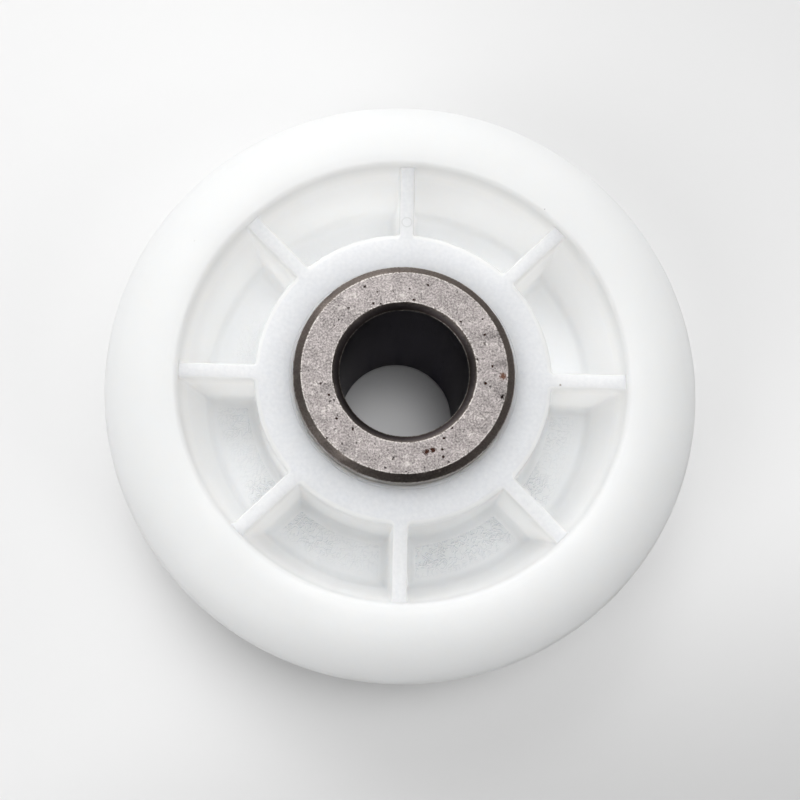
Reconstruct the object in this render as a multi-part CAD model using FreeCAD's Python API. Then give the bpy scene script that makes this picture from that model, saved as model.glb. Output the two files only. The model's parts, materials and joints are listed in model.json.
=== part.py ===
import FreeCAD, Part
import math
import os

# Dryer idler pulley: a belt wheel moulded in one piece, and the sintered bushing in its hub.
# Millimetres, with +Z up along the bore. The origin is the centre of the bushing's lower end
# face, which the pulley stands on. The pulley is the same on both sides of its mid-plane, so
# its shapes are drawn about that plane and lifted to their place at the end.

# Bushing
BORE_DIAMETER = 12.8
BUSHING_DIAMETER = 22.0
BUSHING_LENGTH = 23.0
BUSHING_CHAMFER_WIDTH = 0.7
BUSHING_CHAMFER_DEPTH = 0.6
BORE_CHAMFER_WIDTH = 0.75
BORE_CHAMFER_DEPTH = 0.6

# Hub
HUB_SEAT_CLEARANCE = 0.0
HUB_DIAMETER = 29.8
HUB_INSET = 1.9
HUB_DRAFT_DEG = 2.0
HUB_FOOT_RADIUS = 1.0
SEAT_CHAMFER = 0.3

# Web and ribs
WEB_THICKNESS = 2.4
RIB_COUNT = 8
RIB_THICKNESS = 1.5
RIB_DRAFT_DEG = 1.0

# Rim
WHEEL_DIAMETER = 60.0
RIM_MOUTH_DIAMETER = 45.0
RIM_PROUD_OF_HUB = 0.6
RIM_WALL_DRAFT_DEG = 13.0
RIM_MOUTH_EDGE_RADIUS = 0.5
RIM_FOOT_RADIUS = 1.0

# Flanges: the face starts level beside the rim's mouth, and its outer half falls to the tip
FLANGE_DROP = 2.4
DOME_RADIUS = 9.0
TIP_RADIUS = 0.7

# Belt groove
GROOVE_FLOOR_DIAMETER = 46.8
GROOVE_FLOOR_WIDTH = 9.5
GROOVE_SIDE_SLOPE_DEG = 13.0
GROOVE_CORNER_RADIUS = 1.2

# How much of a short side the rounding of its two corners may take up
LARGEST_ROUNDED_SHARE = 0.98

AXIS = FreeCAD.Vector(0, 0, 1)
CENTRE = FreeCAD.Vector(0, 0, 0)

HUB_HALF_WIDTH = BUSHING_LENGTH / 2 - HUB_INSET
RIM_HALF_WIDTH = HUB_HALF_WIDTH + RIM_PROUD_OF_HUB
WEB_HALF_THICKNESS = WEB_THICKNESS / 2


def slope(degrees):
    """How far a face leans sideways in each millimetre that it rises."""
    return math.tan(math.radians(degrees))


def hub_wall_radius(height):
    """The drafted outside of the hub, at a height above the mid-plane."""
    return HUB_DIAMETER / 2 + (HUB_HALF_WIDTH - height) * slope(HUB_DRAFT_DEG)


def rim_wall_radius(height):
    """The drafted inside of the rim, which opens towards its mouth."""
    return RIM_MOUTH_DIAMETER / 2 - (RIM_HALF_WIDTH - height) * slope(RIM_WALL_DRAFT_DEG)


def rib_half_thickness(height):
    """A rib is thinnest at its top, level with the hub's face."""
    return RIB_THICKNESS / 2 + (HUB_HALF_WIDTH - height) * slope(RIB_DRAFT_DEG)


def setback(places, index, radius):
    """How far from a corner its rounding starts, measured along either side."""
    towards_before = places[index - 1] - places[index]
    towards_after = places[(index + 1) % len(places)] - places[index]
    return radius / math.tan(towards_before.getAngle(towards_after) / 2)


def fitted_setbacks(places, radii):
    """The setbacks of all corners, smaller where a side is too short for both of its own."""
    wanted = [setback(places, index, radius) for index, radius in enumerate(radii)]
    fitted = list(wanted)
    for index, place in enumerate(places):
        room = place.distanceToPoint(places[index - 1]) * LARGEST_ROUNDED_SHARE
        needed = wanted[index - 1] + wanted[index]
        if needed > room:
            fitted[index - 1] = min(fitted[index - 1], wanted[index - 1] * room / needed)
            fitted[index] = min(fitted[index], wanted[index] * room / needed)
    return fitted


def corner_arc(before, corner, after, distance):
    """The start, middle and end of an arc that leaves both sides at a distance from a corner."""
    towards_before = (before - corner).normalize()
    towards_after = (after - corner).normalize()
    half_angle = towards_before.getAngle(towards_after) / 2
    inwards = (towards_before + towards_after).normalize()
    radius = distance * math.tan(half_angle)
    middle = corner + inwards * (radius / math.sin(half_angle) - radius)
    return corner + towards_before * distance, middle, corner + towards_after * distance


def section(corners):
    """A face in the XZ plane through (x, z, corner radius) corners, each one rounded."""
    places = [FreeCAD.Vector(x, 0, z) for x, z, radius in corners]
    distances = fitted_setbacks(places, [radius for x, z, radius in corners])
    arcs = []
    for index, distance in enumerate(distances):
        after = places[(index + 1) % len(places)]
        arcs.append(corner_arc(places[index - 1], places[index], after, distance))
    edges = []
    for index, (start, middle, end) in enumerate(arcs):
        if distances[index] > 0:
            edges.append(Part.Arc(start, middle, end).toShape())
        next_start = arcs[(index + 1) % len(arcs)][0]
        edges.append(Part.LineSegment(end, next_start).toShape())
    return Part.Face(Part.Wire(edges))


def both_halves(upper_corners):
    """An outline's upper half, followed by its mirror image below the mid-plane."""
    lower_corners = [(x, -z, radius) for x, z, radius in reversed(upper_corners)]
    return upper_corners + lower_corners


def lifted(shape):
    """The shape moved up, from about its mid-plane to standing on the bushing's end."""
    shape.translate(AXIS * (BUSHING_LENGTH / 2))
    return shape


def bushing():
    """The sleeve: a turned ring with both edges chamfered at each end."""
    bore = BORE_DIAMETER / 2
    outside = BUSHING_DIAMETER / 2
    end = BUSHING_LENGTH / 2
    upper = [
        (bore, end - BORE_CHAMFER_DEPTH, 0),
        (bore + BORE_CHAMFER_WIDTH, end, 0),
        (outside - BUSHING_CHAMFER_WIDTH, end, 0),
        (outside, end - BUSHING_CHAMFER_DEPTH, 0),
    ]
    return section(both_halves(upper)).revolve(CENTRE, AXIS, 360)


def wheel_body():
    """Hub, web, rim and flanges: one outline turned about the bore."""
    seat = BUSHING_DIAMETER / 2 + HUB_SEAT_CLEARANCE
    mouth = RIM_MOUTH_DIAMETER / 2
    outside = WHEEL_DIAMETER / 2
    groove_floor = GROOVE_FLOOR_DIAMETER / 2
    groove_half_width = GROOVE_FLOOR_WIDTH / 2
    groove_mouth = groove_half_width + (outside - groove_floor) * slope(GROOVE_SIDE_SLOPE_DEG)
    upper = [
        (seat, HUB_HALF_WIDTH - SEAT_CHAMFER, 0),
        (seat + SEAT_CHAMFER, HUB_HALF_WIDTH, 0),
        (hub_wall_radius(HUB_HALF_WIDTH), HUB_HALF_WIDTH, 0),
        (hub_wall_radius(WEB_HALF_THICKNESS), WEB_HALF_THICKNESS, HUB_FOOT_RADIUS),
        (rim_wall_radius(WEB_HALF_THICKNESS), WEB_HALF_THICKNESS, RIM_FOOT_RADIUS),
        (mouth, RIM_HALF_WIDTH, RIM_MOUTH_EDGE_RADIUS),
        ((mouth + outside) / 2, RIM_HALF_WIDTH, DOME_RADIUS),
        (outside, RIM_HALF_WIDTH - FLANGE_DROP, TIP_RADIUS),
        (outside, groove_mouth, TIP_RADIUS),
        (groove_floor, groove_half_width, GROOVE_CORNER_RADIUS),
    ]
    return section(both_halves(upper)).revolve(CENTRE, AXIS, 360)


def ribs():
    """Radial ribs through the web, drafted from each top, sunk into the hub and the rim."""
    start = (BUSHING_DIAMETER + HUB_DIAMETER) / 4
    end = (GROOVE_FLOOR_DIAMETER / 2 + rim_wall_radius(HUB_HALF_WIDTH)) / 2
    outline = [
        (rib_half_thickness(HUB_HALF_WIDTH), HUB_HALF_WIDTH),
        (rib_half_thickness(0), 0),
        (rib_half_thickness(HUB_HALF_WIDTH), -HUB_HALF_WIDTH),
    ]
    outline += [(-y, z) for y, z in reversed(outline)]
    corners = [FreeCAD.Vector(start, y, z) for y, z in outline]
    first = Part.Face(Part.makePolygon(corners + corners[:1]))
    first = first.extrude(FreeCAD.Vector(end - start, 0, 0))
    copies = []
    for index in range(RIB_COUNT):
        rib = first.copy()
        rib.rotate(CENTRE, AXIS, index * 360 / RIB_COUNT)
        copies.append(rib)
    return copies


def wheel():
    """The turned body and its ribs, as one moulding."""
    return wheel_body().fuse(ribs()).removeSplitter()


def main():
    os.makedirs("parts", exist_ok=True)
    nodes = {"bushing": bushing(), "wheel": wheel()}
    for name, shape in nodes.items():
        solid = shape.Solids[0]
        lifted(solid).exportStep(f"parts/{name}.step")


main()
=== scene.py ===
import json
import math

import bmesh
import bpy
from bpy.props import FloatProperty, FloatVectorProperty, IntProperty, PointerProperty, StringProperty
from mathutils import Matrix, Vector, noise


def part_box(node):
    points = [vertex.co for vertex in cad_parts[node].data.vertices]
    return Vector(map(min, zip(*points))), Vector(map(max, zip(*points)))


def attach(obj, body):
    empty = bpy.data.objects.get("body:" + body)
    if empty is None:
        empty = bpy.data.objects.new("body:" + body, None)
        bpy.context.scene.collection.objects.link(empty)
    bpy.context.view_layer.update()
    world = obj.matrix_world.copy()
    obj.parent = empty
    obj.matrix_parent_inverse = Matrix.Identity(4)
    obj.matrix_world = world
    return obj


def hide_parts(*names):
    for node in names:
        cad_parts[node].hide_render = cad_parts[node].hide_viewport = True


# Dryer idler pulley, dressed for its picture. The wheel is one glossy white moulding with ribbed
# pockets on both sides. The bushing is a dark sintered sleeve with ground ends. Everything is in
# metres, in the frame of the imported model: +Z up along the bore, standing on the bushing's end.

bl_info = {
    "name": "Dryer idler pulley",
    "version": (1, 0, 0),
    "blender": (4, 5, 0),
    "location": "3D View > Sidebar > Pulley",
    "description": "Builds the pulley's moulded wheel, its sintered bushing and a studio round them",
    "category": "Object",
}

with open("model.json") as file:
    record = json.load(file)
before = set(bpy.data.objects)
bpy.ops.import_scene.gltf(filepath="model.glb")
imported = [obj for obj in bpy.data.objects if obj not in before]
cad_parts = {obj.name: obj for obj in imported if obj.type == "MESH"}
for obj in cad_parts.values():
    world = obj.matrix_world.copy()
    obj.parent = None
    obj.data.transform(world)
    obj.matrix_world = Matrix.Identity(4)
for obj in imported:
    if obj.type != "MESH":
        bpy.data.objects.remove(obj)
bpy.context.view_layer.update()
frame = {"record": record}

MM = 0.001
BUSHING_LOW, BUSHING_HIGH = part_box("bushing")
WHEEL_LOW, WHEEL_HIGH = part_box("wheel")
BORE = next(mount for mount in frame["record"]["mounts"] if mount["name"] == "bore")

BUSHING_RADIUS = (BUSHING_HIGH[0] - BUSHING_LOW[0]) / 2
BUSHING_HALF = (BUSHING_HIGH[2] - BUSHING_LOW[2]) / 2
BORE_RADIUS = BORE["dims"]["r_mm"] * MM
WHEEL_RADIUS = min(WHEEL_HIGH[0], -WHEEL_LOW[0])
RIM_HALF = (WHEEL_HIGH[2] - WHEEL_LOW[2]) / 2
MIDDLE = BUSHING_LOW[2] + BUSHING_HALF

# Points nearer together than this are one point
WELD = 0.001 * MM

# Edges that turn by more than this stay crisp
CRISP_DEG = 40.0

# How finely an arc of an outline is divided
ARC_STEP_DEG = 15.0


class WheelSettings(bpy.types.PropertyGroup):
    """Sizes and colours of the moulded wheel."""

    seat_gap: FloatProperty(
        name="Seat gap", description="Gap between the bushing and the plastic round it",
        default=0.02 * MM, unit="LENGTH")
    seat_chamfer: FloatProperty(
        name="Seat chamfer", description="Chamfer of the hub's bore at each face",
        default=0.3 * MM, unit="LENGTH")
    seat_bead: FloatProperty(
        name="Seat bead", description="Half the width of the raised lip round the bushing",
        default=0.08 * MM, unit="LENGTH")
    hub_radius: FloatProperty(
        name="Hub radius", description="Outside of the hub at its face",
        default=14.9 * MM, unit="LENGTH")
    hub_below_rim: FloatProperty(
        name="Hub below rim", description="How far the hub's face and rib tops lie below the rim",
        default=0.6 * MM, unit="LENGTH")
    hub_draft: FloatProperty(
        name="Hub draft", description="Lean of the hub's outside wall",
        default=math.radians(2.0), subtype="ANGLE")
    mouth_radius: FloatProperty(
        name="Mouth radius", description="Inside of the rim at its edge",
        default=22.5 * MM, unit="LENGTH")
    mouth_edge_radius: FloatProperty(
        name="Mouth edge radius", description="Rounding of the rim's inner edge",
        default=0.5 * MM, unit="LENGTH")
    rim_draft: FloatProperty(
        name="Rim draft", description="Lean of the rim's inside wall",
        default=math.radians(13.0), subtype="ANGLE")
    web_half: FloatProperty(
        name="Half web", description="Half the thickness of the web",
        default=1.2 * MM, unit="LENGTH")
    foot_radius: FloatProperty(
        name="Foot radius", description="Rounding where the pocket walls meet the web",
        default=1.0 * MM, unit="LENGTH")
    rib_count: IntProperty(
        name="Ribs", description="Ribs on each side of the web", default=8, min=3)
    rib_half: FloatProperty(
        name="Half rib", description="Half the thickness of a rib at its top",
        default=0.75 * MM, unit="LENGTH")
    rib_draft: FloatProperty(
        name="Rib draft", description="Lean of each side of a rib",
        default=math.radians(1.0), subtype="ANGLE")
    rib_edge_radius: FloatProperty(
        name="Rib edge radius", description="Rounding of the top edges of the ribs",
        default=0.15 * MM, unit="LENGTH")
    hub_edge_share: FloatProperty(
        name="Hub edge share", description="Width of the hub's rounded edge, in rib edge radii",
        default=3.5)
    pocket_corner_radius: FloatProperty(
        name="Pocket corner radius", description="Upright corners of a pocket",
        default=0.25 * MM, unit="LENGTH")
    flange_drop: FloatProperty(
        name="Flange drop", description="How far the flange's tip lies below the rim's edge",
        default=2.4 * MM, unit="LENGTH")
    dome_radius: FloatProperty(
        name="Dome radius", description="Rounding of the flange's face",
        default=9.0 * MM, unit="LENGTH")
    tip_radius: FloatProperty(
        name="Tip radius", description="Rounding of the flange's tip",
        default=0.7 * MM, unit="LENGTH")
    groove_radius: FloatProperty(
        name="Groove radius", description="Floor of the belt groove",
        default=23.4 * MM, unit="LENGTH")
    groove_half: FloatProperty(
        name="Half groove", description="Half the width of the groove's floor",
        default=4.75 * MM, unit="LENGTH")
    groove_slope: FloatProperty(
        name="Groove slope", description="Lean of the groove's sides",
        default=math.radians(13.0), subtype="ANGLE")
    groove_corner_radius: FloatProperty(
        name="Groove corner radius", description="Rounding at the groove's floor",
        default=1.2 * MM, unit="LENGTH")
    floor_waves: FloatProperty(
        name="Floor waves", description="Height of the uneven skin on the pocket floors",
        default=0.05 * MM, unit="LENGTH")
    colour: StringProperty(
        name="Plastic", description="Colour of the plastic, as sRGB hex", default="E1E2E2")
    # Painted light: a lighter colour laid over the pocket walls and floors, fuller with depth, which is
    # also the colour of their painted glow
    painted_pocket_light: StringProperty(
        name="Pockets", description="Colour of the plastic where thin walls glow",
        default="FFFFFE")
    # Depth below the top at which the painted light in the pockets is full
    painted_light_depth: FloatProperty(
        name="Pocket fade", description="Depth at which the plastic has the pockets' full colour",
        default=2.0 * MM, unit="LENGTH")
    # Painted glow: the pockets give off a faint light of their own, strongest on the far side
    painted_pocket_glow: FloatProperty(
        name="Pocket glow", description="Light that the thin walls pass on into the far pockets",
        default=0.025)
    face_colour: StringProperty(
        name="Hub face", description="Colour of the plastic on the hub's face", default="E2E3E5")


class BushingSettings(bpy.types.PropertyGroup):
    """Sizes and colours of the sintered bushing."""

    outer_chamfer_width: FloatProperty(
        name="Outer chamfer width", description="Across the end face",
        default=0.8 * MM, unit="LENGTH")
    outer_chamfer_depth: FloatProperty(
        name="Outer chamfer depth", description="Down the side",
        default=0.6 * MM, unit="LENGTH")
    bore_chamfer_width: FloatProperty(
        name="Bore chamfer width", description="Across the end face",
        default=0.75 * MM, unit="LENGTH")
    bore_chamfer_depth: FloatProperty(
        name="Bore chamfer depth", description="Down the bore",
        default=0.6 * MM, unit="LENGTH")
    edge_radius: FloatProperty(
        name="Edge radius", description="Wear on each edge",
        default=0.09 * MM, unit="LENGTH")
    nick_depth: FloatProperty(
        name="Nick depth", description="Depth of the small knocks in the edges of the face",
        default=0.09 * MM, unit="LENGTH")
    ground_colour: StringProperty(
        name="Ground iron", description="Colour of the ground end face", default="B3ACAA")
    worn_colour: StringProperty(
        name="Dull iron", description="Colour where the grinding left the face dull",
        default="575352")
    # On the rubbed edges this colour is partly wear and partly a painted highlight
    scuff_colour: StringProperty(
        name="Scuffed iron", description="Colour of rubbed edges and of scuffs on the face",
        default="CFC9C4")
    skin_colour: StringProperty(
        name="Sintered skin", description="Colour of the unground iron", default="968C86")
    side_colour: StringProperty(
        name="Sized side", description="Colour of the side, which the die left shiny",
        default="E2DFDC")
    oily_colour: StringProperty(
        name="Oily chamfer", description="Colour of the oil-dark chamfer at the bore",
        default="3B322E")
    bore_colour: StringProperty(
        name="Oiled bore", description="Colour of the oily inside of the bore", default="55545E")


class StageSettings(bpy.types.PropertyGroup):
    """The camera, the lights and the table."""

    camera_from_face: FloatVectorProperty(
        name="Camera", description="Camera's place from the centre of the bushing's upper face",
        default=(-5.5 * MM, -28.8 * MM, 114.3 * MM), unit="LENGTH")
    camera_tilt: FloatProperty(
        name="Camera tilt", description="How far the camera leans from looking straight down",
        default=math.radians(12.77), subtype="ANGLE")
    camera_lean: FloatProperty(
        name="Camera lean", description="How far the camera looks to its right",
        default=math.radians(2.45), subtype="ANGLE")
    pulley_turn: FloatProperty(
        name="Turn", description="How far the ribs are turned from the picture's edges",
        default=math.radians(1.7), subtype="ANGLE")
    lens: FloatProperty(
        name="Lens", description="Focal length on a sensor 36 mm wide", default=54.0)
    table_colour: StringProperty(
        name="Table", description="Colour of the table, as sRGB hex", default="E1E1E1")
    shade_colour: StringProperty(
        name="Table in shade", description="Colour of the table towards its near edge",
        default="BEBEBE")
    glint_radiance: FloatProperty(
        name="Glint lights", description="Brightness of the small lights that glint on the rim",
        default=5.0)
    far_lamp: FloatProperty(
        name="Far lamp", description="Light from high on the far side", default=8.6)
    top_lamp: FloatProperty(
        name="Top lamp", description="Light from almost overhead", default=11.4)
    near_lamp: FloatProperty(
        name="Near lamp", description="Light from high on the camera's side", default=1.8)
    right_lamp: FloatProperty(
        name="Right lamp", description="Light from high on the right", default=3.0)
    window: FloatProperty(
        name="Window", description="Broad light from the far side", default=2.8)
    left_wall: FloatProperty(
        name="Left wall", description="Broad low light from the left", default=0.35)
    right_wall: FloatProperty(
        name="Right wall", description="Broad low light from the right", default=0.45)


def linear(hex_colour):
    """The linear colour of an sRGB hex value."""
    channels = [int(hex_colour[start:start + 2], 16) / 255 for start in (0, 2, 4)]
    return tuple(c / 12.92 if c <= 0.04045 else ((c + 0.055) / 1.055) ** 2.4 for c in channels) + (1.0,)


def pattern_scale(feature_mm):
    """The texture scale whose features are about this many millimetres across."""
    return 1 / (feature_mm * MM)


def add_node(tree, kind, inputs=None, **settings):
    """Adds a node, sets its properties, and gives or links each named or numbered input."""
    node = tree.nodes.new(kind)
    for name, value in settings.items():
        setattr(node, name, value)
    for key, value in (inputs or {}).items():
        if isinstance(value, bpy.types.NodeSocket):
            tree.links.new(value, node.inputs[key])
        else:
            node.inputs[key].default_value = value
    return node


def calculate(tree, operation, *values):
    """The result of a Math node on sockets or numbers, in the order in which it takes them."""
    return add_node(tree, "ShaderNodeMath", dict(enumerate(values)), operation=operation).outputs[0]


def ramp(tree, value, low, high, at_low=0.0, at_high=1.0, **settings):
    """Goes from one number to another while a value goes from low to high."""
    return add_node(tree, "ShaderNodeMapRange", {
        "Value": value, "From Min": low, "From Max": high, "To Min": at_low, "To Max": at_high},
        **settings).outputs[0]


def blend(tree, share, under, over):
    """A colour laid over another by a share. Each one is a socket or an sRGB hex value."""
    under, over = (linear(colour) if isinstance(colour, str) else colour for colour in (under, over))
    return add_node(tree, "ShaderNodeMix", {0: share, 6: under, 7: over},
                    data_type="RGBA").outputs[2]


def noise_over(tree, place, feature_mm, **shape):
    """Noise whose features are about this many millimetres across."""
    return add_node(tree, "ShaderNodeTexNoise", {
        "Vector": place, "Scale": pattern_scale(feature_mm), **shape}).outputs[0]


def distance_from(tree, place, spot_mm):
    """How far a place is from a spot that is given in millimetres."""
    return add_node(tree, "ShaderNodeVectorMath", {
        0: place, 1: Vector(spot_mm) * MM}, operation="DISTANCE").outputs["Value"]


def mark(tree, name):
    """A mark between 0 and 1 that the mesh code put on the vertices."""
    return add_node(tree, "ShaderNodeAttribute", attribute_name=name).outputs["Fac"]


def new_material(name):
    """An empty node material, its tree and the place on the object in that tree."""
    material = bpy.data.materials.new(name)
    material.use_nodes = True
    tree = material.node_tree
    tree.nodes.clear()
    return material, tree, add_node(tree, "ShaderNodeTexCoord").outputs["Object"]


def add_object(name, mesh):
    """Puts a mesh into the scene."""
    made = bpy.data.objects.new(name, mesh)
    bpy.context.scene.collection.objects.link(made)
    return made


def rounded_outline(corners, hold=0.12 * MM):
    """Points along an open outline of (radius, height, corner radius) corners, each one rounded.

    Straight runs get a point close to each end, so that the shading of an arc stays in the arc.
    """
    places = [Vector((radius, height)) for radius, height, rounding in corners]
    points = [places[0]]
    for index in range(1, len(places) - 1):
        here = places[index]
        before = (places[index - 1] - here).normalized()
        after = (places[index + 1] - here).normalized()
        half_angle = before.angle(after) / 2
        rounding = corners[index][2]
        if rounding == 0:
            points.append(here)
            continue
        setback = rounding / math.tan(half_angle)
        centre = here + (before + after).normalized() * (rounding / math.sin(half_angle))
        start = here + before * setback
        sweep = math.pi - 2 * half_angle
        steps = max(3, math.ceil(math.degrees(sweep) / ARC_STEP_DEG))
        turn = math.copysign(sweep / steps, (start - centre).cross(after))
        points.append(start + before * hold)
        for step in range(steps + 1):
            points.append(centre + Matrix.Rotation(turn * step, 2) @ (start - centre))
        points.append(here + after * (setback + hold))
    points.append(places[-1])
    return points


def turned(points, angles):
    """Rows of a surface of revolution: one row for each outline point, one column an angle."""
    return [[Vector((radius * math.cos(a), radius * math.sin(a), height)) for a in angles]
            for radius, height in points]


def add_rows(mesh, rows, closed=False):
    """Joins neighbouring rows of points with quads, and gives the new vertices back."""
    made = [[mesh.verts.new(point) for point in row] for row in rows]
    for upper, lower in zip(made, made[1:]):
        count = len(upper)
        for index in range(count if closed else count - 1):
            after = (index + 1) % count
            mesh.faces.new((upper[index], upper[after], lower[after], lower[index]))
    return made


def spread(first, last, steps):
    """Evenly spaced values from first to last, with both ends."""
    return [first + (last - first) * step / steps for step in range(steps + 1)]


def mirrored(points):
    """The same points on the other side of a pocket's middle, in reverse order."""
    return [Vector((p.x, -p.y, p.z)) for p in reversed(points)]


class WheelSector:
    """One pocket of the wheel, with half a rib on either side, above the mid-plane.

    The pocket's middle lies along +X. Heights are above the mid-plane.
    """

    ARC_STEPS = 24
    SIDE_STEPS = 12
    CORNER_STEPS = 4
    WALL_STEPS = 6
    FOOT_STEPS = 7
    EDGE_STEPS = 4

    # How far the finely divided strip beside a pocket reaches, in rib edge radii
    EDGE_STRIP = 1.6

    def __init__(self, settings):
        self.s = settings
        self.half_pitch = math.pi / settings.rib_count
        self.top = RIM_HALF - settings.hub_below_rim
        depth = self.top - settings.web_half
        self.hub_foot = settings.hub_radius + depth * math.tan(settings.hub_draft)
        self.rib_foot = settings.rib_half + depth * math.tan(settings.rib_draft)
        wall_height = RIM_HALF - settings.web_half
        self.rim_foot = settings.mouth_radius - wall_height * math.tan(settings.rim_draft)

    def lean(self, rise, draft):
        """How far a pocket wall stands back from its foot, at a rise above the web."""
        radius = self.s.foot_radius
        if rise >= radius * (1 - math.sin(draft)):
            return rise * math.tan(draft)
        foot_setback = radius * math.tan((math.pi / 2 - draft) / 2)
        return math.sqrt(radius ** 2 - (radius - rise) ** 2) - foot_setback

    def half_ring(self, height, lip):
        """Half of a pocket's outline, from the middle of the rim's wall to that of the hub's."""
        rise = height - self.s.web_half
        rim = self.rim_foot + self.lean(rise, self.s.rim_draft)
        hub = self.hub_foot - self.lean(rise, self.s.hub_draft)
        rib = self.rib_foot - self.lean(rise, self.s.rib_draft)
        corner = self.s.pocket_corner_radius
        outer_along = math.sqrt((rim - corner) ** 2 - (rib + corner) ** 2)
        inner_along = math.sqrt((hub + corner) ** 2 - (rib + corner) ** 2)
        outer_turn = math.atan2(rib + corner, outer_along)
        inner_turn = math.atan2(rib + corner, inner_along)

        points = []
        hub_lip = lip * self.s.hub_edge_share
        shares = spread(0, 1, self.CORNER_STEPS)[1:]
        for angle in spread(0, self.half_pitch - outer_turn, self.ARC_STEPS // 2):
            points.append(self.polar(rim, angle, height))
        for share in shares:
            turn = outer_turn + share * (-math.pi / 2 - outer_turn)
            reach = corner + lip * share
            points.append(self.beside_rib(outer_along, rib + corner, turn, reach, height))
        for along in spread(outer_along, inner_along, self.SIDE_STEPS)[1:]:
            points.append(self.beside_rib(along, rib + corner, -math.pi / 2, corner + lip, height))
        for share in shares:
            turn = -math.pi / 2 + share * (inner_turn - math.pi / 2)
            reach = corner + lip + share * (hub_lip - lip)
            points.append(self.beside_rib(inner_along, rib + corner, turn, reach, height))
        for angle in spread(self.half_pitch - inner_turn, 0, self.ARC_STEPS // 2)[1:]:
            points.append(self.polar(hub - hub_lip, angle, height))
        return points

    def polar(self, radius, angle, height):
        """A point at a radius and an angle about the bore."""
        return Vector((radius * math.cos(angle), radius * math.sin(angle), height))

    def beside_rib(self, along, away, turn, reach, height):
        """A point at a turn and reach about a place given along a rib and away from it."""
        along += reach * math.cos(turn)
        away += reach * math.sin(turn)
        cosine, sine = math.cos(self.half_pitch), math.sin(self.half_pitch)
        return Vector((along * cosine + away * sine, along * sine - away * cosine, height))

    def ring(self, height, lip=0.0):
        """A pocket's whole outline, from the middle of the rim's wall and back to it."""
        half = self.half_ring(height, lip)
        return half + mirrored(half[1:-1])

    def rings(self):
        """The outlines from the flat top, over the rounded edge and down the walls to the web."""
        edge = self.s.rib_edge_radius
        made = [self.ring(self.top, edge * self.EDGE_STRIP)]
        for turn in spread(0, math.pi / 2, self.EDGE_STEPS):
            made.append(self.ring(self.top - edge * (1 - math.cos(turn)), edge * (1 - math.sin(turn))))
        foot_top = self.s.web_half + self.s.foot_radius
        for height in spread(self.top - edge, foot_top, self.WALL_STEPS)[1:]:
            made.append(self.ring(height))
        for turn in spread(0, math.pi / 2, self.FOOT_STEPS)[1:]:
            rise = self.s.foot_radius * (1 - math.sin(turn))
            made.append(self.ring(self.s.web_half + rise))
        return made

    def floor_rows(self, ring):
        """A grid over the web inside the last ring, blended from its four sides."""
        count = len(ring)
        across = self.ARC_STEPS + self.CORNER_STEPS
        down = self.SIDE_STEPS + self.CORNER_STEPS
        outer_end = across // 2
        inner_end = outer_end + down
        inner_start = inner_end + across
        outer_start = inner_start + down
        rows = []
        for j in range(down + 1):
            v = j / down
            left, right = ring[outer_start - j], ring[outer_end + j]
            row = []
            for i in range(across + 1):
                u = i / across
                outer = ring[(outer_start + i) % count]
                inner = ring[inner_start - i]
                between_rims = outer * (1 - v) + inner * v
                between_ribs = left * (1 - u) + right * u
                corners = (ring[outer_start] * (1 - u) + ring[outer_end] * u) * (1 - v)
                corners += (ring[inner_start] * (1 - u) + ring[inner_end] * u) * v
                row.append(between_rims + between_ribs - corners)
            rows.append(row)
        return rows

    def top_rows(self, ring, seat_row):
        """The flat top, from a pocket's edge to the middles of its two ribs and to the seat."""
        half_arc = self.ARC_STEPS // 2
        edge = ring[half_arc:len(ring) - half_arc + 1]
        rib_points = self.CORNER_STEPS + self.SIDE_STEPS + 1
        wall = math.hypot(edge[0].x, edge[0].y)
        one_rib = [self.polar(wall, self.half_pitch, self.top)]
        for point in edge[1:rib_points]:
            along = point.x * math.cos(self.half_pitch) + point.y * math.sin(self.half_pitch)
            one_rib.append(self.polar(along, self.half_pitch, self.top))
        return [edge, one_rib + seat_row[::-1] + mirrored(one_rib)]

    def rim_outline(self):
        """From the rib tops up the rim's wall, over the flange and down to the groove's middle."""
        s = self.s
        wall = s.mouth_radius - s.hub_below_rim * math.tan(s.rim_draft)
        groove_mouth = s.groove_half + (WHEEL_RADIUS - s.groove_radius) * math.tan(s.groove_slope)
        return rounded_outline([
            (wall, self.top, 0),
            (s.mouth_radius, RIM_HALF, s.mouth_edge_radius),
            ((s.mouth_radius + WHEEL_RADIUS) / 2, RIM_HALF, s.dome_radius),
            (WHEEL_RADIUS, RIM_HALF - s.flange_drop, s.tip_radius),
            (WHEEL_RADIUS, groove_mouth, s.tip_radius),
            (s.groove_radius, s.groove_half, s.groove_corner_radius),
            (s.groove_radius, 0, 0),
        ])

    def mesh(self):
        """The sector as a mesh, with marks on the pocket, on its floor and on the flat top."""
        made = bmesh.new()
        floor_mark = made.verts.layers.float.new("floor")
        face_mark = made.verts.layers.float.new("hub_face")
        pocket_mark = made.verts.layers.float.new("pocket")

        rings = self.rings()
        add_rows(made, rings, closed=True)
        floor = add_rows(made, self.floor_rows(rings[-1]))
        for share, row in zip(spread(0, 1, len(floor) - 1), floor):
            for vertex in row[1:-1]:
                vertex[floor_mark] = min(1.0, 2 * share) if share < 1 else 0.0

        half_arc = self.ARC_STEPS // 2
        wall_angles = [math.atan2(p.y, p.x) for p in rings[0][:half_arc + 1]]
        stations = [-self.half_pitch] + [-a for a in reversed(wall_angles[1:])]
        stations += wall_angles + [self.half_pitch]
        add_rows(made, turned(self.rim_outline(), stations))

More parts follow.
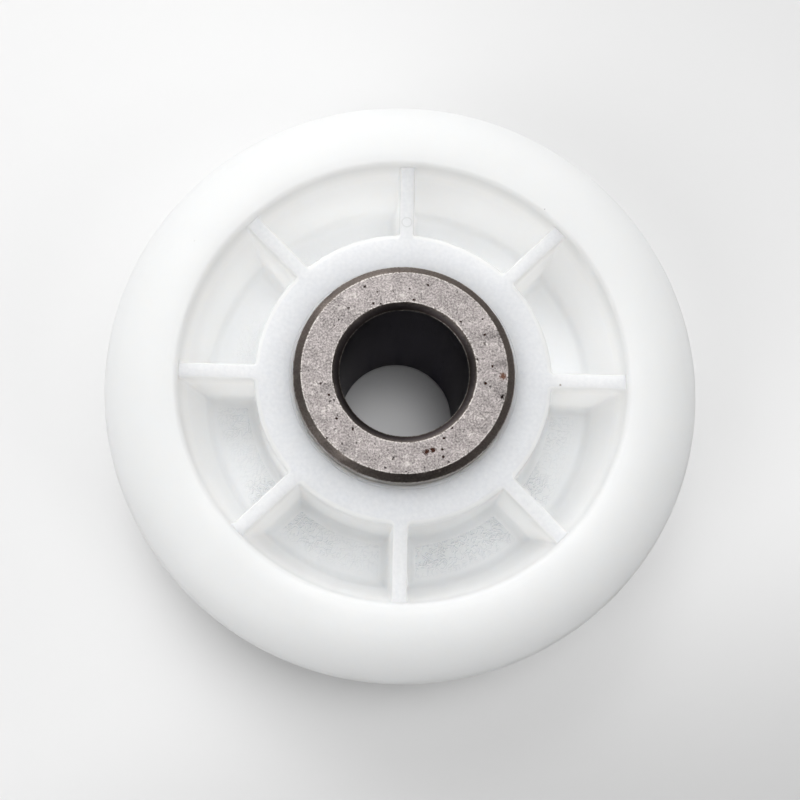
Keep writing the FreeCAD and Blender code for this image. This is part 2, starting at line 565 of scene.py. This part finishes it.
        seat = BUSHING_RADIUS + self.s.seat_gap
        seat_steps = self.ARC_STEPS + 2 * self.CORNER_STEPS - 2
        seat_angles = spread(-self.half_pitch, self.half_pitch, seat_steps)
        lip = seat + self.s.seat_chamfer
        bead = self.s.seat_bead
        seat_rows = turned([
            (lip + 2 * bead, self.top),
            (lip + 1.5 * bead, self.top + 0.5 * bead),
            (lip + bead, self.top + 0.7 * bead),
            (lip + 0.5 * bead, self.top + 0.5 * bead),
            (lip, self.top),
            (seat, self.top - self.s.seat_chamfer),
            (seat, 0),
        ], seat_angles)
        add_rows(made, seat_rows)
        add_rows(made, self.top_rows(rings[0], seat_rows[0]))

        bmesh.ops.remove_doubles(made, verts=made.verts, dist=WELD)
        wall = math.hypot(rings[0][0].x, rings[0][0].y)
        for vertex in made.verts:
            away = math.hypot(vertex.co.x, vertex.co.y)
            if vertex.co.z > self.top - WELD:
                vertex[face_mark] = 1.0 if away < wall - WELD else 0.0
            elif BUSHING_RADIUS + self.s.seat_chamfer < away < wall:
                # The pocket mark grows with depth below the top and carries the painted light of the
                # pockets
                vertex[pocket_mark] = min(1.0, (self.top - vertex.co.z) / self.s.painted_light_depth)
        mesh = bpy.data.meshes.new("wheel_sector")
        made.to_mesh(mesh)
        made.free()
        return mesh


def wheel_tree():
    """Geometry nodes that mirror one sector, repeat it round the bore and ripple its floors."""
    tree = bpy.data.node_groups.new("wheel_from_sector", "GeometryNodeTree")
    sockets = [
        ("Sector", "NodeSocketGeometry"),
        ("Rib count", "NodeSocketInt"),
        ("Middle", "NodeSocketFloat"),
        ("Wave height", "NodeSocketFloat"),
        ("Wave length", "NodeSocketFloat"),
        ("Seed", "NodeSocketFloat"),
        ("Material", "NodeSocketMaterial"),
    ]
    for name, kind in sockets:
        tree.interface.new_socket(name, in_out="INPUT", socket_type=kind)
    tree.interface.new_socket("Wheel", in_out="OUTPUT", socket_type="NodeSocketGeometry")
    given = add_node(tree, "NodeGroupInput").outputs

    below = add_node(tree, "GeometryNodeTransform", {
        "Geometry": given["Sector"], "Scale": (1.0, 1.0, -1.0)})
    below = add_node(tree, "GeometryNodeFlipFaces", {"Mesh": below.outputs[0]})
    both = add_node(tree, "GeometryNodeJoinGeometry", {"Geometry": given["Sector"]})
    tree.links.new(below.outputs[0], both.inputs[0])

    places = add_node(tree, "GeometryNodePoints", {"Count": given["Rib count"]})
    pitch = calculate(tree, "DIVIDE", math.tau, given["Rib count"])
    index = add_node(tree, "GeometryNodeInputIndex").outputs[0]
    half_on = calculate(tree, "ADD", index, 0.5)
    turn = calculate(tree, "MULTIPLY", half_on, pitch)
    turn = add_node(tree, "ShaderNodeCombineXYZ", {"Z": turn})
    copies = add_node(tree, "GeometryNodeInstanceOnPoints", {
        "Points": places.outputs[0], "Instance": both.outputs[0], "Rotation": turn.outputs[0]})
    whole = add_node(tree, "GeometryNodeRealizeInstances", {0: copies.outputs[0]})
    whole = add_node(tree, "GeometryNodeMergeByDistance", {
        "Geometry": whole.outputs[0], "Distance": WELD})

    floor = add_node(tree, "GeometryNodeInputNamedAttribute", {"Name": "floor"}, data_type="FLOAT")
    size = calculate(tree, "DIVIDE", 1.0, given["Wave length"])
    wave = add_node(tree, "ShaderNodeTexNoise", {
        "W": given["Seed"], "Scale": size, "Detail": 2.0}, noise_dimensions="4D")
    swing = calculate(tree, "SUBTRACT", wave.outputs[0], 0.5)
    swing = calculate(tree, "MULTIPLY", swing, given["Wave height"])
    swing = calculate(tree, "MULTIPLY", swing, floor.outputs[0])
    offset = add_node(tree, "ShaderNodeCombineXYZ", {"Z": swing})
    waved = add_node(tree, "GeometryNodeSetPosition", {
        "Geometry": whole.outputs[0], "Offset": offset.outputs[0]})

    lift = add_node(tree, "ShaderNodeCombineXYZ", {"Z": given["Middle"]})
    placed = add_node(tree, "GeometryNodeTransform", {
        "Geometry": waved.outputs[0], "Translation": lift.outputs[0]})
    finished = add_node(tree, "GeometryNodeSetMaterial", {
        "Geometry": placed.outputs[0], "Material": given["Material"]})
    add_node(tree, "NodeGroupOutput", {"Wheel": finished.outputs[0]})
    return tree


def run_tree(base, tree, values):
    """The plain mesh that a geometry node tree makes from a base mesh."""
    holder = add_object("holder", base)
    modifier = holder.modifiers.new("build", "NODES")
    modifier.node_group = tree
    identifiers = {item.name: item.identifier for item in tree.interface.items_tree
                   if item.in_out == "INPUT"}
    for name, value in values.items():
        modifier[identifiers[name]] = value
    evaluated = holder.evaluated_get(bpy.context.evaluated_depsgraph_get())
    mesh = bpy.data.meshes.new_from_object(evaluated)
    bpy.data.objects.remove(holder)
    return mesh


def closed_and_outward(mesh):
    """Welds a mesh, points its faces outwards and shades it smooth up to its crisp edges."""
    work = bmesh.new()
    work.from_mesh(mesh)
    bmesh.ops.remove_doubles(work, verts=work.verts, dist=WELD)
    bmesh.ops.recalc_face_normals(work, faces=work.faces)
    for face in work.faces:
        face.smooth = True
    work.to_mesh(mesh)
    work.free()
    mesh.set_sharp_from_angle(angle=math.radians(CRISP_DEG))


def spot_mask(tree, place, ragged, centre_mm, radius_mm):
    """A mask that is 1 in a small spot with an uneven edge, and 0 outside it."""
    radius = radius_mm * MM
    away = distance_from(tree, place, centre_mm)
    away = calculate(tree, "MULTIPLY_ADD", ragged, 3 * radius, away)
    return ramp(tree, away, 2.7 * radius, 2.2 * radius)


# The crinkled skin, in mm: ridges that wind about, each with a thin line of painted shade on its lee
# side
PATCH_SIZE = 7.0
RIDGE_SIZE = 0.55
RIDGE_HEIGHT = 0.12
LEE_SHADE_OFFSET = (0.03, -0.11, 0.0)

# How far the noise may be from its middle value on a ridge
RIDGE_HALF_WIDTH = 0.07

# The bite of the tool on the plastic and the height that it has elsewhere, in mm
TOOTH_SIZE = 0.4
TOOTH_ON_FACE = 0.025
TOOTH_ELSEWHERE = 0.004

# Where the photograph shows black specks in the plastic, in mm, with their radius
SPECKS = (
    ((-21.6, 13.3, 21.6), 0.12),
    ((14.2, 18.0, 21.6), 0.10),
    ((15.7, -0.46, 21.1), 0.10),
    ((20.3, -4.4, 14.5), 0.11),
    ((21.5, 5.5, 19.0), 0.10),
)
SPECK_RAGGEDNESS = 0.2

# The mark that an ejector pin left on the far rib, in mm
PIN_CENTRE = (0.0, 16.3, 21.1)
PIN_RADIUS = 0.5
PIN_LINE = 0.07
PIN_HEIGHT = 0.04

# The knit line where two flows of plastic met, across the hub beside the right rib, in mm
KNIT_AWAY = 0.62
KNIT_HALF_WIDTH = 0.05
KNIT_DEPTH = 0.03

# Tints of the plastic, as sRGB hex
# The first three paint the relief of the crinkled skin: a darker mid-tone, painted shade on the lee
# sides and a painted highlight on the ridges
RELIEF_MIDTONE_TINT = "DFE3E5"
LEE_SHADE_TINT = "D5D9DC"
RIDGE_HIGHLIGHT_TINT = "FFFFFF"
TOOTH_TINT = "D2D4D8"
KNIT_TINT = "D9DBDF"
PIN_TINT = "CFD1D3"
SPECK_TINT = "8A8680"


def winding_ridges(tree, place):
    """A mask of thin ridges that wind about, half a millimetre or so apart."""
    swell = noise_over(tree, place, RIDGE_SIZE, Detail=0.5, Distortion=0.8)
    off_ridge = calculate(tree, "ABSOLUTE", calculate(tree, "SUBTRACT", swell, 0.5))
    return ramp(tree, off_ridge, RIDGE_HALF_WIDTH, 0.0)


def crinkled_skin(tree, place, away):
    """Masks of the crinkled skin on the pocket floors, stronger towards the near side, of its ridges,
    and of the painted shade on their lee sides.
    """
    patches = noise_over(tree, place, PATCH_SIZE, Detail=2.0)
    patches = ramp(tree, patches, 0.42, 0.58, 0.25, 1.0)
    # The skin is stronger towards the near side (-Y)
    toward_near_side = ramp(tree, away, 5 * MM, -8 * MM, 0.15)
    skin = calculate(tree, "MULTIPLY", toward_near_side, patches)
    skin = calculate(tree, "MULTIPLY", skin, mark(tree, "floor"))
    beside = add_node(tree, "ShaderNodeVectorMath", {
        0: place, 1: Vector(LEE_SHADE_OFFSET) * MM}, operation="ADD").outputs[0]
    ridges = calculate(tree, "MULTIPLY", winding_ridges(tree, place), skin)
    lee_shade = calculate(tree, "MULTIPLY", winding_ridges(tree, beside), skin)
    return skin, ridges, lee_shade


def knit_line(tree, along, face):
    """A mask of the knit line on the right half of the hub's face."""
    line = calculate(tree, "COMPARE", along["Y"], KNIT_AWAY * MM, KNIT_HALF_WIDTH * MM)
    on_the_right = calculate(tree, "GREATER_THAN", along["X"], 0.0)
    line = calculate(tree, "MULTIPLY", line, on_the_right)
    return calculate(tree, "MULTIPLY", line, face)


def moulded_acetal(settings):
    """Natural acetal, injection moulded: milky white and slightly see-through at its edges, with
    the soft gloss of the mould and a crinkled skin on the pocket floors, stronger towards the near
    side.
    Painted light brightens the pockets and glows faintly in the far ones; the skin's ridges carry
    painted highlights and painted shade."""
    material, tree, place = new_material("moulded_acetal")
    along = add_node(tree, "ShaderNodeSeparateXYZ", {0: place}).outputs
    face = mark(tree, "hub_face")
    pocket = mark(tree, "pocket")
    skin, ridges, lee_shade = crinkled_skin(tree, place, along["Y"])
    knit = knit_line(tree, along, face)
    pin = calculate(tree, "COMPARE", distance_from(tree, place, PIN_CENTRE), PIN_RADIUS * MM,
                    PIN_LINE * MM)

    grain = noise_over(tree, place, TOOTH_SIZE, Detail=2.0)
    tooth = ramp(tree, face, 0.0, 1.0, TOOTH_ELSEWHERE * MM, TOOTH_ON_FACE * MM)
    height = calculate(tree, "MULTIPLY", grain, tooth)
    for share, rise in ((ridges, RIDGE_HEIGHT), (pin, PIN_HEIGHT), (knit, -KNIT_DEPTH)):
        height = calculate(tree, "MULTIPLY_ADD", share, rise * MM, height)
    bump = add_node(tree, "ShaderNodeBump", {"Height": height, "Distance": 1.0})

    sheen = noise_over(tree, place, 6.0, Detail=3.0)
    rough = ramp(tree, sheen, 0.3, 0.7, 0.40, 0.48)
    rough = calculate(tree, "MULTIPLY_ADD", face, 0.15, rough)

    # Painted light: the pockets turn lighter with depth
    colour = blend(tree, pocket, settings.colour, settings.painted_pocket_light)
    toothed = blend(tree, grain, TOOTH_TINT, settings.face_colour)
    layers = (
        # Painted relief of the crinkled skin: a darker mid-tone, painted shade beside each ridge and a
        # painted highlight on it
        (calculate(tree, "MULTIPLY", skin, 0.4), RELIEF_MIDTONE_TINT),
        (lee_shade, LEE_SHADE_TINT),
        (ridges, RIDGE_HIGHLIGHT_TINT),
        (face, toothed),
        (knit, KNIT_TINT),
        (pin, PIN_TINT),
    )
    for share, tint in layers:
        colour = blend(tree, share, colour, tint)
    ragged = noise_over(tree, place, SPECK_RAGGEDNESS)
    for centre, radius in SPECKS:
        colour = blend(tree, spot_mask(tree, place, ragged, centre, radius), colour, SPECK_TINT)

    # Painted glow: the pockets emit a faint light that grows towards the far side (+Y)
    painted_glow = ramp(tree, along["Y"], -12 * MM, 10 * MM, 0.0, settings.painted_pocket_glow)
    painted_glow = calculate(tree, "MULTIPLY", painted_glow, pocket)
    plastic = add_node(tree, "ShaderNodeBsdfPrincipled", {
        "Base Color": colour, "Roughness": rough, "IOR": 1.48,
        "Emission Color": linear(settings.painted_pocket_light), "Emission Strength": painted_glow,
        "Subsurface Weight": 1.0, "Subsurface Radius": (1.0, 0.95, 0.9),
        "Subsurface Scale": 8.0 * MM, "Normal": bump.outputs[0]})
    add_node(tree, "ShaderNodeOutputMaterial", {"Surface": plastic.outputs[0]})
    # The painted glow is too weak to be worth its own light rays, which would slow the render
    material.cycles.emission_sampling = "NONE"
    return material


# The finishes of the bushing that the mesh code marks
FINISHES = ("ground", "bore", "worn", "side", "oily")

# Structure of the sintered iron, in mm
GRAIN_SIZE = 0.2
GRAIN_HEIGHT = 0.04
MARBLE_SIZE = 1.6
PORE_SPACING = 0.8
PORE_DEPTH = 0.05
SCUFF_SIZE = 1.2

# Rust and stains that the photograph shows on the ground face, in mm, with radius and colour
STAINS = (
    ((2.27, -7.98, 23.0), 0.30, "35211B"),
    ((2.90, -7.78, 23.0), 0.28, "35211B"),
    ((9.70, -0.20, 23.0), 0.35, "5A4238"),
    ((9.60, -2.30, 23.0), 0.20, "241C1A"),
)

# Tints of the iron, as sRGB hex
PORE_TINT = "33231F"
DARK_SKIN_TINT = "2A2421"
GLANCING_TINT = "B0AEAC"


def open_pores(tree, place, grain):
    """A mask of the pores that the grinding opened, each with its own size."""
    pores = add_node(tree, "ShaderNodeTexVoronoi", {
        "Vector": place, "Scale": pattern_scale(PORE_SPACING)}).outputs
    size = add_node(tree, "ShaderNodeSeparateColor", {0: pores["Color"]}).outputs[0]
    edge = calculate(tree, "MULTIPLY_ADD", size, -0.18, pores["Distance"])
    edge = calculate(tree, "MULTIPLY_ADD", grain, 0.4, edge)
    return ramp(tree, edge, 0.24, 0.17)


def ground_colour(tree, place, settings, grain, tone, pores):
    """The ground ends: mottled grey, with open pores, scuffs and stains."""
    mottle = ramp(tree, tone, 0.44, 0.77)
    colour = blend(tree, mottle, settings.worn_colour, settings.ground_colour)
    colour = blend(tree, pores, colour, PORE_TINT)
    scuffs = noise_over(tree, place, SCUFF_SIZE, Detail=5.0, Roughness=0.85, Distortion=0.6)
    scuffs = ramp(tree, scuffs, 0.55, 0.68, 0.0, 0.6)
    colour = blend(tree, scuffs, colour, settings.scuff_colour)
    for centre, radius, stain in STAINS:
        colour = blend(tree, spot_mask(tree, place, grain, centre, radius), colour, stain)
    return colour


def sintered_iron(settings):
    """Oil-filled sintered iron: a dark porous skin, ground light grey on the ends only, where
    open pores stay as dark specks and the edges are burnished bright, a wear that also stands as a
    painted highlight along them."""
    material, tree, place = new_material("sintered_iron")
    ground, bore, worn, side, oily = (mark(tree, name) for name in FINISHES)
    grain = noise_over(tree, place, GRAIN_SIZE, Detail=4.0, Roughness=0.8)
    marble = noise_over(tree, place, MARBLE_SIZE, Detail=3.0, Distortion=1.0)
    tone = calculate(tree, "MULTIPLY_ADD", marble, 0.2, grain)
    pores = open_pores(tree, place, grain)
    # Bright rubbed edges: wear, and also a painted highlight broken along the face's edges
    rubbed_edge_highlight = calculate(tree, "MULTIPLY", ramp(tree, tone, 0.52, 0.66), worn)

    colour = blend(tree, grain, DARK_SKIN_TINT, settings.skin_colour)
    layers = (
        (side, settings.side_colour),
        (bore, settings.bore_colour),
        (oily, settings.oily_colour),
        (ground, ground_colour(tree, place, settings, grain, tone, pores)),
        (rubbed_edge_highlight, settings.scuff_colour),
    )
    for share, tint in layers:
        colour = blend(tree, share, colour, tint)

    pit = calculate(tree, "MULTIPLY", pores, -PORE_DEPTH * MM)
    relief = calculate(tree, "MULTIPLY_ADD", grain, GRAIN_HEIGHT * MM, pit)
    bump = add_node(tree, "ShaderNodeBump", {"Height": relief, "Distance": 1.0})
    ground_rough = ramp(tree, tone, 0.35, 0.85, 0.52, 0.38)
    rough = add_node(tree, "ShaderNodeMix", {0: ground, 2: 0.32, 3: ground_rough})
    iron = add_node(tree, "ShaderNodeBsdfPrincipled", {
        "Base Color": colour, "Metallic": 1.0, "Roughness": rough.outputs[0],
        "Specular Tint": linear(GLANCING_TINT), "Normal": bump.outputs[0]})
    add_node(tree, "ShaderNodeOutputMaterial", {"Surface": iron.outputs[0]})
    return material


# The table falls into shade this way, between these distances from the bore, in mm
SHADE_AXIS = (0.35, -1.0, 0.0)
SHADE_START = 22
SHADE_END = 60


def table_paint(settings):
    """Smooth white laminate: it takes a soft shadow and a faint gloss, and falls into shade
    towards its near edge."""
    material, tree, place = new_material("white_laminate")
    rough = ramp(tree, noise_over(tree, place, 2.0), 0.0, 1.0, 0.30, 0.36)
    nearness = add_node(tree, "ShaderNodeVectorMath", {
        0: place, 1: SHADE_AXIS}, operation="DOT_PRODUCT").outputs["Value"]
    shade = ramp(tree, nearness, SHADE_START * MM, SHADE_END * MM, interpolation_type="SMOOTHSTEP")
    paint = add_node(tree, "ShaderNodeBsdfPrincipled", {
        "Base Color": blend(tree, shade, settings.table_colour, settings.shade_colour),
        "Roughness": rough})
    add_node(tree, "ShaderNodeOutputMaterial", {"Surface": paint.outputs[0]})
    return material


def bushing_corners(settings):
    """The sharp corners of the turned section's upper half: bore, face and side."""
    return [
        (BORE_RADIUS, BUSHING_HALF - settings.bore_chamfer_depth),
        (BORE_RADIUS + settings.bore_chamfer_width, BUSHING_HALF),
        (BUSHING_RADIUS - settings.outer_chamfer_width, BUSHING_HALF),
        (BUSHING_RADIUS, BUSHING_HALF - settings.outer_chamfer_depth),
    ]


# How finely the bushing is divided round the bore
BUSHING_COLUMNS = 384

# How far apart the knocks in its edges are, in mm, and how much of the noise makes none
KNOCK_SPACING = 1.2
KNOCK_THRESHOLD = 0.15


def bushing_mesh(settings):
    """The whole sleeve, with knocked edges, and marks on its face, bore and worn edges."""
    corners = bushing_corners(settings)
    outline = [(BORE_RADIUS, 0, 0)]
    outline += [(radius, height, settings.edge_radius) for radius, height in corners]
    outline += [(BUSHING_RADIUS, 0, 0)]
    upper = rounded_outline(outline, hold=0.08 * MM)
    section = upper + [Vector((p.x, -p.y)) for p in reversed(upper)]
    angles = [math.tau * column / BUSHING_COLUMNS for column in range(BUSHING_COLUMNS)]
    made = bmesh.new()
    marks = {name: made.verts.layers.float.new(name) for name in FINISHES}
    rows = add_rows(made, turned(section, angles), closed=True)
    for row, point in zip(rows, section):
        radius, height = point.x, abs(point.y)
        on_edge = min(math.hypot(radius - r, height - h) for r, h in corners) < settings.edge_radius
        in_bore = radius < BORE_RADIUS + settings.bore_chamfer_width - settings.edge_radius
        finish = {
            "ground": height > BUSHING_HALF - WELD,
            "bore": in_bore,
            "worn": on_edge,
            "side": radius > BUSHING_RADIUS - WELD,
            "oily": in_bore and height > BUSHING_HALF - settings.bore_chamfer_depth,
        }
        for vertex in row:
            for name, holds in finish.items():
                vertex[marks[name]] = float(holds)
            if on_edge:
                swell = noise.noise(vertex.co * pattern_scale(KNOCK_SPACING))
                knock = max(0.0, swell - KNOCK_THRESHOLD)
                vertex.co *= 1 - knock * settings.nick_depth / vertex.co.length
            vertex.co.z += MIDDLE
    mesh = bpy.data.meshes.new("bushing")
    made.to_mesh(mesh)
    made.free()
    return mesh


# How far apart the waves of the pocket floors are, and which waves they are
WAVE_LENGTH = 2.5 * MM
WAVE_SEED = 3.0


class PULLEY_OT_wheel(bpy.types.Operator):
    """Moulds the wheel: one sector, repeated round the bore on both sides of the web"""

    bl_idname = "pulley.wheel"
    bl_label = "Moulded wheel"

    def execute(self, context):
        settings = context.scene.pulley_wheel
        material = moulded_acetal(settings)
        mesh = run_tree(WheelSector(settings).mesh(), wheel_tree(), {
            "Rib count": settings.rib_count,
            "Middle": MIDDLE,
            "Wave height": settings.floor_waves,
            "Wave length": WAVE_LENGTH,
            "Seed": WAVE_SEED,
            "Material": material,
        })
        closed_and_outward(mesh)
        wheel = add_object("moulded_wheel", mesh)
        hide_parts("wheel")
        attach(wheel, "root")
        return {"FINISHED"}


class PULLEY_OT_bushing(bpy.types.Operator):
    """Turns the sintered bushing, with worn edges and ground ends"""

    bl_idname = "pulley.bushing"
    bl_label = "Sintered bushing"

    def execute(self, context):
        settings = context.scene.pulley_bushing
        mesh = bushing_mesh(settings)
        closed_and_outward(mesh)
        mesh.materials.append(sintered_iron(settings))
        bushing = add_object("sintered_bushing", mesh)
        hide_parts("bushing")
        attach(bushing, "root")
        return {"FINISHED"}


def add_camera(settings):
    """Stands the camera where the picture's was, found from the rings of the pulley in it."""
    data = bpy.data.cameras.new("camera")
    data.lens = settings.lens
    data.sensor_width = 36.0
    data.clip_start = 1 * MM
    data.clip_end = 10.0
    camera = bpy.data.objects.new("camera", data)
    bpy.context.scene.collection.objects.link(camera)
    turn = Matrix.Rotation(settings.pulley_turn, 4, "Z")
    tilt = Matrix.Rotation(settings.camera_tilt, 4, "X")
    lean = Matrix.Rotation(-settings.camera_lean, 4, "Y")
    face_centre = Vector((0, 0, BUSHING_HIGH[2]))
    place = Matrix.Translation(face_centre + turn.to_3x3() @ Vector(settings.camera_from_face))
    camera.matrix_world = place @ turn @ tilt @ lean
    bpy.context.scene.camera = camera


def add_table(settings):
    """A wide table top under the pulley, 3 m long and 3 m wide."""
    half = 1.5
    corners = [(-half, -half, 0), (half, -half, 0), (half, half, 0), (-half, half, 0)]
    mesh = bpy.data.meshes.new("table")
    mesh.from_pydata(corners, [], [(0, 1, 2, 3)])
    mesh.materials.append(table_paint(settings))
    add_object("table", mesh)


def add_panel(name, place, width, radiance):
    """A soft square light that faces the pulley."""
    data = bpy.data.lights.new(name, "AREA")
    data.size = width
    data.energy = radiance * math.pi * width ** 2
    light = bpy.data.objects.new(name, data)
    light.location = place
    light.rotation_euler = (-Vector(place)).to_track_quat("-Z", "Y").to_euler()
    bpy.context.scene.collection.objects.link(light)


def add_glints(settings):
    """Small lights round the pulley, for the glints that the photograph has on the rim."""
    panels = (
        ("glint_left", (-0.26, -0.22, 0.36), 0.22, 0.8),
        ("glint_right", (0.26, -0.18, 0.34), 0.10, 1.0),
        ("glint_far_left", (-0.25, 0.25, 0.35), 0.15, 0.5),
    )
    for name, place, width, share in panels:
        add_panel(name, place, width, settings.glint_radiance * share)


# How narrow the light of a lamp, of the window and of a wall is, as a power of the cosine
LAMP_POWER = 60.0
WINDOW_POWER = 8.0
WALL_POWER = 6.0


def light_room(settings):
    """Light from all round: narrow lobes for what hangs overhead, and broad ones for the walls."""
    lobes = (
        ((-0.15, 0.6, 1.0), LAMP_POWER, settings.far_lamp),
        ((0.06, 0.1, 1.0), LAMP_POWER, settings.top_lamp),
        ((0.0, -0.3, 1.0), LAMP_POWER, settings.near_lamp),
        ((0.45, 0.1, 1.0), LAMP_POWER, settings.right_lamp),
        ((-0.2, 1.0, 0.4), WINDOW_POWER, settings.window),
        ((-1.0, 0.6, 0.5), WALL_POWER, settings.left_wall),
        ((1.0, 0.6, 0.4), WALL_POWER, settings.right_wall),
    )
    world = bpy.data.worlds.new("room")
    world.use_nodes = True
    tree = world.node_tree
    tree.nodes.clear()
    direction = add_node(tree, "ShaderNodeTexCoord").outputs["Generated"]
    total = 0.0
    for axis, power, strength in lobes:
        facing = add_node(tree, "ShaderNodeVectorMath", {
            0: direction, 1: Vector(axis).normalized()}, operation="DOT_PRODUCT").outputs["Value"]
        lobe = calculate(tree, "POWER", calculate(tree, "MAXIMUM", facing, 0.0), power)
        total = calculate(tree, "MULTIPLY_ADD", lobe, strength, total)
    back = add_node(tree, "ShaderNodeBackground", {"Strength": total})
    add_node(tree, "ShaderNodeOutputWorld", {"Surface": back.outputs[0]})
    bpy.context.scene.world = world


class PULLEY_OT_stage(bpy.types.Operator):
    """Sets the table, the light and the camera"""

    bl_idname = "pulley.stage"
    bl_label = "Studio"

    def execute(self, context):
        settings = context.scene.pulley_stage
        context.scene.view_settings.view_transform = "Standard"
        add_table(settings)
        add_glints(settings)
        light_room(settings)
        add_camera(settings)
        return {"FINISHED"}


class PULLEY_PT_panel(bpy.types.Panel):
    """Lists the pulley's sizes and the steps that build it"""

    bl_label = "Dryer idler pulley"
    bl_idname = "PULLEY_PT_panel"
    bl_space_type = "VIEW_3D"
    bl_region_type = "UI"
    bl_category = "Pulley"

    def draw(self, context):
        scene = context.scene
        groups = (
            (PULLEY_OT_wheel, scene.pulley_wheel),
            (PULLEY_OT_bushing, scene.pulley_bushing),
            (PULLEY_OT_stage, scene.pulley_stage),
        )
        for operator, settings in groups:
            box = self.layout.box()
            for name in settings.__annotations__:
                box.prop(settings, name)
            box.operator(operator.bl_idname)


CLASSES = (WheelSettings, BushingSettings, StageSettings,
           PULLEY_OT_wheel, PULLEY_OT_bushing, PULLEY_OT_stage, PULLEY_PT_panel)


def register():
    for each in CLASSES:
        bpy.utils.register_class(each)
    bpy.types.Scene.pulley_wheel = PointerProperty(type=WheelSettings)
    bpy.types.Scene.pulley_bushing = PointerProperty(type=BushingSettings)
    bpy.types.Scene.pulley_stage = PointerProperty(type=StageSettings)


def unregister():
    del bpy.types.Scene.pulley_stage
    del bpy.types.Scene.pulley_bushing
    del bpy.types.Scene.pulley_wheel
    for each in reversed(CLASSES):
        bpy.utils.unregister_class(each)


def main():
    register()
    bpy.ops.pulley.wheel()
    bpy.ops.pulley.bushing()
    bpy.ops.pulley.stage()


if __name__ == "__main__":
    main()
